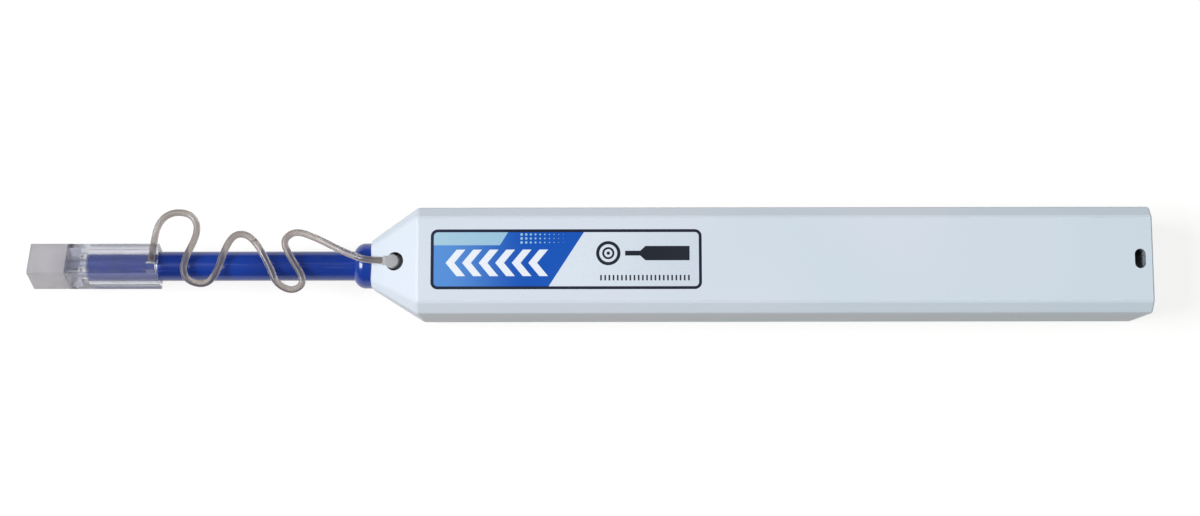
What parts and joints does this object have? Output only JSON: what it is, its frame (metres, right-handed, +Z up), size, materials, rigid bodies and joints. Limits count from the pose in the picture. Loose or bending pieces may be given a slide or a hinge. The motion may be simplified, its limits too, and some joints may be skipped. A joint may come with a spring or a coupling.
{
  "type": "fibre connector cleaning pen",
  "caption": "Pen-shaped cleaner for fibre connector end faces: an octagonal push case, a sliding nozzle with a thread-covered tip, and a tethered guide cap with a lid.",
  "frame": {"origin": "on the flat underside of the case, at the middle of the case's length and width", "axes": "+X along the pen towards its rear, so that the cleaning tip points to -X; +Y across; +Z up, out of the labelled face"},
  "size_m": [0.1956, 0.019, 0.018],
  "materials": {
    "case_white": "fine satin moulding",
    "label_film": "printed film",
    "blue_plastic": "polished moulding",
    "clear_plastic": "clear moulding",
    "frosted_plastic": "frosted moulding",
    "frame_plastic": "plain moulding",
    "reel_plastic": "plain moulding",
    "steel": "drawn wire and ground pins",
    "brass": "turned",
    "thread": "fine lint-free thread",
    "tip_plastic": "fine moulding"
  },
  "bodies": {
    "case": {"case_upper": "case_white", "case_lower": "case_white", "label": "label_film", "nose_bushing": "blue_plastic", "cam_follower": "steel", "tether_knob": "clear_plastic"},
    "cartridge": {"chassis": "frame_plastic", "nozzle_tube": "blue_plastic", "reel_cover": "frame_plastic", "thread_guide_pins": "steel", "rotor_bearing_front": "brass", "rotor_bearing_rear": "brass", "thread_run": "thread", "reel_brake_washer": "steel", "click_pawl": "steel", "return_spring": "steel", "tether": "clear_plastic"},
    "rotor": {"rotor_sleeve": "reel_plastic"},
    "tip": {"spindle": "steel", "tip_head": "tip_plastic", "tip_thread": "thread", "tip_spring": "steel"},
    "take_up": {"take_up_reel": "reel_plastic", "used_thread_pack": "thread", "drive_pinion": "frame_plastic", "clutch_washer": "steel"},
    "supply": {"supply_reel": "reel_plastic", "supply_thread_pack": "thread"},
    "guide_cap_body": {"guide_cap": "clear_plastic", "lid_hinge_pin": "steel"},
    "lid": {"cap_lid": "frosted_plastic"}
  },
  "joints": [
    {"name": "push_stroke", "type": "slide", "parent": "case", "child": "cartridge", "axis": [1, 0, 0], "range_m": [0, 0.01], "stiffness_N_per_m": 800, "springref_m": -0.005, "deforming": ["return_spring", "click_pawl"]},
    {"name": "tip_turn", "type": "hinge", "parent": "cartridge", "child": "rotor", "pos_m": [-0.0342, 0, 0.009], "axis": [1, 0, 0], "range_deg": [0, 180.1]},
    {"name": "tip_press", "type": "slide", "parent": "rotor", "child": "tip", "axis": [1, 0, 0], "range_m": [0, 0.0015], "stiffness_N_per_m": 500, "springref_m": -0.003, "deforming": ["tip_spring", "tip_thread"]},
    {"name": "take_up_turn", "type": "hinge", "parent": "cartridge", "child": "take_up", "pos_m": [0.004, 0, 0.009], "axis": [0, 0, 1], "range_deg": [-106.2, 0]},
    {"name": "supply_turn", "type": "hinge", "parent": "cartridge", "child": "supply", "pos_m": [0.022, 0, 0.009], "axis": [0, 0, 1], "range_deg": [-76.5, 0]},
    {"name": "cap_pull", "type": "slide", "parent": "cartridge", "child": "guide_cap_body", "axis": [-1, 0, 0], "range_m": [0, 0.03], "deforming": ["tether"]},
    {"name": "lid_open", "type": "hinge", "parent": "guide_cap_body", "child": "lid", "pos_m": [-0.1214, -0.0015, 0.00546], "axis": [0, -0.9205, 0.3907], "range_deg": [0, 120]}
  ],
  "couplings": [
    {"joint": "tip_turn", "follows": "push_stroke", "rad_per_m": 314.16},
    {"joint": "take_up_turn", "follows": "push_stroke", "rad_per_m": -185.19},
    {"joint": "supply_turn", "follows": "push_stroke", "rad_per_m": -133.33}
  ]
}
